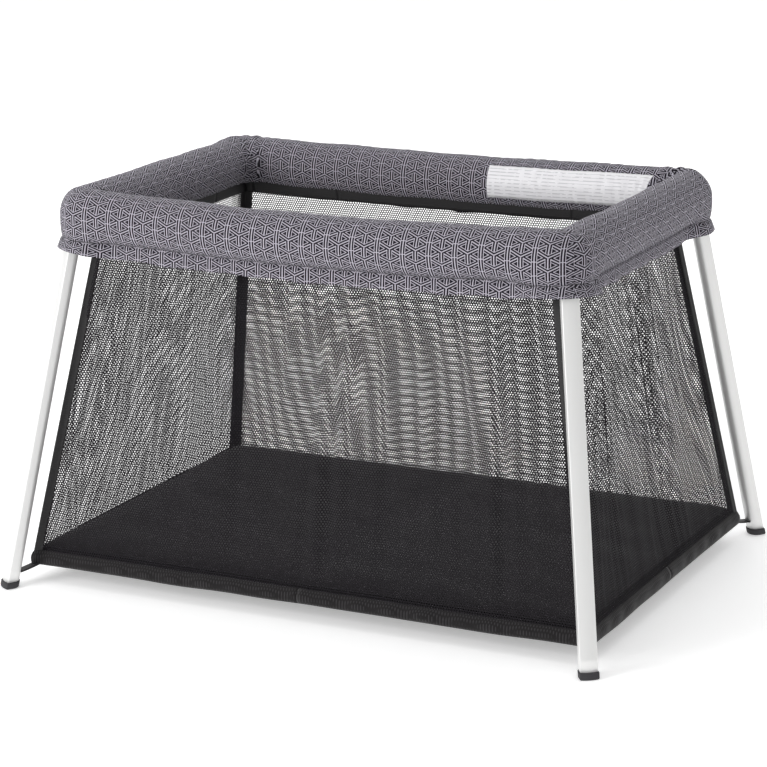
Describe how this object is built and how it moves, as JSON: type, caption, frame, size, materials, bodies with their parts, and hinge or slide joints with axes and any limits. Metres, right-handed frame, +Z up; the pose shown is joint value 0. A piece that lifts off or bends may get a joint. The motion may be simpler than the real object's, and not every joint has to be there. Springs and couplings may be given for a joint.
{
  "type": "travel play yard",
  "caption": "Rectangular folding play yard: padded rail on splayed aluminium legs, with a mesh-walled tub and padded floor that fold up together.",
  "frame": {"origin": "centre of the footprint at floor level, standing on the feet", "axes": "+X along the long sides to the right, +Y to the rear long side, +Z up"},
  "size_m": [1.0838, 0.8318, 0.66],
  "materials": {
    "brushed_aluminium": "satin anodised, silver white",
    "tube_aluminium": "plain drawn tube",
    "steel_pin": "bright zinc plated",
    "grey_rubber": "matt dark grey rubber",
    "black_nylon": "moulded glass-filled nylon",
    "grey_button": "moulded, fine texture",
    "patterned_cloth": "woven polyester with a small light geometric pattern on grey violet",
    "black_netting": "knitted polyester mesh, see-through",
    "black_mat_cloth": "black woven polyester with a fine dotted texture"
  },
  "bodies": {
    "corner_front_left": {"corner_bracket_front_left": "black_nylon", "leg_pin_front_left": "steel_pin", "rail_pin_front_left": "steel_pin", "rail_pin_left_front": "steel_pin"},
    "corner_front_right": {"corner_bracket_front_right": "black_nylon", "leg_pin_front_right": "steel_pin", "rail_pin_front_right": "steel_pin", "rail_pin_right_front": "steel_pin"},
    "corner_rear_right": {"corner_bracket_rear_right": "black_nylon", "leg_pin_rear_right": "steel_pin", "rail_pin_right_rear": "steel_pin", "rail_pin_rear_right": "steel_pin"},
    "corner_rear_left": {"corner_bracket_rear_left": "black_nylon", "leg_pin_rear_left": "steel_pin", "rail_pin_rear_left": "steel_pin", "rail_pin_left_rear": "steel_pin"},
    "rail_front_left": {"rail_tube_front_left": "tube_aluminium", "rail_pad_front_left": "patterned_cloth", "hinge_fork_front": "black_nylon", "hinge_pin_front": "steel_pin"},
    "rail_front_right": {"rail_tube_front_right": "tube_aluminium", "rail_pad_front_right": "patterned_cloth", "hinge_tongue_front": "black_nylon"},
    "rail_right_front": {"rail_tube_right_front": "tube_aluminium", "rail_pad_right_front": "patterned_cloth", "hinge_fork_right": "black_nylon", "hinge_pin_right": "steel_pin"},
    "rail_right_rear": {"rail_tube_right_rear": "tube_aluminium", "rail_pad_right_rear": "patterned_cloth", "hinge_tongue_right": "black_nylon"},
    "rail_rear_right": {"rail_tube_rear_right": "tube_aluminium", "rail_pad_rear_right": "patterned_cloth", "hinge_fork_rear": "black_nylon", "hinge_pin_rear": "steel_pin"},
    "rail_rear_left": {"rail_tube_rear_left": "tube_aluminium", "rail_pad_rear_left": "patterned_cloth", "hinge_tongue_rear": "black_nylon"},
    "rail_left_rear": {"rail_tube_left_rear": "tube_aluminium", "rail_pad_left_rear": "patterned_cloth", "hinge_fork_left": "black_nylon", "hinge_pin_left": "steel_pin"},
    "rail_left_front": {"rail_tube_left_front": "tube_aluminium", "rail_pad_left_front": "patterned_cloth", "hinge_tongue_left": "black_nylon"},
    "leg_front_left": {"leg_front_left": "brushed_aluminium", "foot_cap_front_left": "grey_rubber", "mesh_wall_front": "black_netting"},
    "leg_front_right": {"leg_front_right": "brushed_aluminium", "foot_cap_front_right": "grey_rubber", "mesh_wall_right": "black_netting"},
    "leg_rear_right": {"leg_rear_right": "brushed_aluminium", "foot_cap_rear_right": "grey_rubber", "mesh_wall_rear": "black_netting"},
    "leg_rear_left": {"leg_rear_left": "brushed_aluminium", "foot_cap_rear_left": "grey_rubber", "mesh_wall_left": "black_netting"},
    "floor_left": {"floor_mat_left": "black_mat_cloth"},
    "floor_right": {"floor_mat_right": "black_mat_cloth"},
    "button_front": {"release_button_front": "grey_button"},
    "button_rear": {"release_button_rear": "grey_button"}
  },
  "joints": [
    {"name": "fold", "type": "hinge", "parent": "corner_front_left", "child": "rail_front_left", "pos_m": [-0.3975, -0.278, 0.62], "axis": [0, 1, 0], "range_deg": [0, 75], "deforming": ["rail_pad_front_left"]},
    {"name": "front_rail_middle", "type": "hinge", "parent": "rail_front_left", "child": "rail_front_right", "pos_m": [0, -0.278, 0.636], "axis": [0, -1, 0], "range_deg": [0, 150], "deforming": ["rail_pad_front_right"]},
    {"name": "front_rail_right_end", "type": "hinge", "parent": "rail_front_right", "child": "corner_front_right", "pos_m": [0.3975, -0.278, 0.62], "axis": [0, 1, 0], "range_deg": [0, 75]},
    {"name": "right_rail_front_end", "type": "hinge", "parent": "corner_front_right", "child": "rail_right_front", "pos_m": [0.4325, -0.243, 0.62], "axis": [-1, 0, 0], "range_deg": [0, 75], "deforming": ["rail_pad_right_front"]},
    {"name": "right_rail_middle", "type": "hinge", "parent": "rail_right_front", "child": "rail_right_rear", "pos_m": [0.4325, 0, 0.636], "axis": [1, 0, 0], "range_deg": [0, 150], "deforming": ["rail_pad_right_rear"]},
    {"name": "right_rail_rear_end", "type": "hinge", "parent": "rail_right_rear", "child": "corner_rear_right", "pos_m": [0.4325, 0.243, 0.62], "axis": [-1, 0, 0], "range_deg": [0, 75]},
    {"name": "rear_rail_right_end", "type": "hinge", "parent": "corner_rear_right", "child": "rail_rear_right", "pos_m": [0.3975, 0.278, 0.62], "axis": [0, -1, 0], "range_deg": [0, 75], "deforming": ["rail_pad_rear_right"]},
    {"name": "rear_rail_middle", "type": "hinge", "parent": "rail_rear_right", "child": "rail_rear_left", "pos_m": [0, 0.278, 0.636], "axis": [0, 1, 0], "range_deg": [0, 150], "deforming": ["rail_pad_rear_left"]},
    {"name": "left_rail_front_end", "type": "hinge", "parent": "corner_front_left", "child": "rail_left_front", "pos_m": [-0.4325, -0.243, 0.62], "axis": [-1, 0, 0], "range_deg": [0, 75], "deforming": ["rail_pad_left_front"]},
    {"name": "left_rail_middle", "type": "hinge", "parent": "rail_left_front", "child": "rail_left_rear", "pos_m": [-0.4325, 0, 0.636], "axis": [1, 0, 0], "range_deg": [0, 150], "deforming": ["rail_pad_left_rear"]},
    {"name": "left_rail_rear_end", "type": "hinge", "parent": "rail_left_rear", "child": "corner_rear_left", "pos_m": [-0.4325, 0.243, 0.62], "axis": [-1, 0, 0], "range_deg": [0, 75]},
    {"name": "leg_swing_front_left", "type": "hinge", "parent": "corner_front_left", "child": "leg_front_left", "pos_m": [-0.43744, -0.2846, 0.585], "axis": [0.8008, -0.5989, 0], "range_deg": [0, 13.28], "deforming": ["mesh_wall_front"]},
    {"name": "leg_swing_front_right", "type": "hinge", "parent": "corner_front_right", "child": "leg_front_right", "pos_m": [0.43744, -0.2846, 0.585], "axis": [0.8008, 0.5989, 0], "range_deg": [0, 13.28], "deforming": ["mesh_wall_right"]},
    {"name": "leg_swing_rear_right", "type": "hinge", "parent": "corner_rear_right", "child": "leg_rear_right", "pos_m": [0.43744, 0.2846, 0.585], "axis": [-0.8008, 0.5989, 0], "range_deg": [0, 13.28], "deforming": ["mesh_wall_rear"]},
    {"name": "leg_swing_rear_left", "type": "hinge", "parent": "corner_rear_left", "child": "leg_rear_left", "pos_m": [-0.43744, 0.2846, 0.585], "axis": [-0.8008, -0.5989, 0], "range_deg": [0, 13.28], "deforming": ["mesh_wall_left"]},
    {"name": "floor_lift_left", "type": "hinge", "parent": "corner_front_left", "child": "floor_left", "pos_m": [-0.4, 0, 0.12], "axis": [0, -1, 0], "range_deg": [0, 92.1], "deforming": ["floor_mat_left"]},
    {"name": "floor_lift_right", "type": "hinge", "parent": "corner_front_right", "child": "floor_right", "pos_m": [0.4, 0, 0.12], "axis": [0, 1, 0], "range_deg": [0, 92.1], "deforming": ["floor_mat_right"]},
    {"name": "release_front", "type": "slide", "parent": "rail_front_left", "child": "button_front", "axis": [0, 0, 1], "range_m": [0, 0.004], "stiffness_N_per_m": 400, "springref_m": -0.002},
    {"name": "release_rear", "type": "slide", "parent": "rail_rear_right", "child": "button_rear", "axis": [0, 0, 1], "range_m": [0, 0.004], "stiffness_N_per_m": 400, "springref_m": -0.002}
  ],
  "couplings": [
    {"joint": "front_rail_middle", "follows": "fold", "ratio": 2},
    {"joint": "front_rail_right_end", "follows": "fold", "ratio": 1},
    {"joint": "right_rail_front_end", "follows": "fold", "ratio": 1},
    {"joint": "right_rail_middle", "follows": "fold", "ratio": 2},
    {"joint": "right_rail_rear_end", "follows": "fold", "ratio": 1},
    {"joint": "rear_rail_right_end", "follows": "fold", "ratio": 1},
    {"joint": "rear_rail_middle", "follows": "fold", "ratio": 2},
    {"joint": "left_rail_front_end", "follows": "fold", "ratio": 1},
    {"joint": "left_rail_middle", "follows": "fold", "ratio": 2},
    {"joint": "left_rail_rear_end", "follows": "fold", "ratio": 1},
    {"joint": "leg_swing_front_left", "follows": "fold", "ratio": 0.17679},
    {"joint": "leg_swing_front_right", "follows": "fold", "ratio": 0.17679},
    {"joint": "leg_swing_rear_right", "follows": "fold", "ratio": 0.17679},
    {"joint": "leg_swing_rear_left", "follows": "fold", "ratio": 0.17679},
    {"joint": "floor_lift_left", "follows": "fold", "ratio": 1.2267},
    {"joint": "floor_lift_right", "follows": "fold", "ratio": 1.2267}
  ]
}
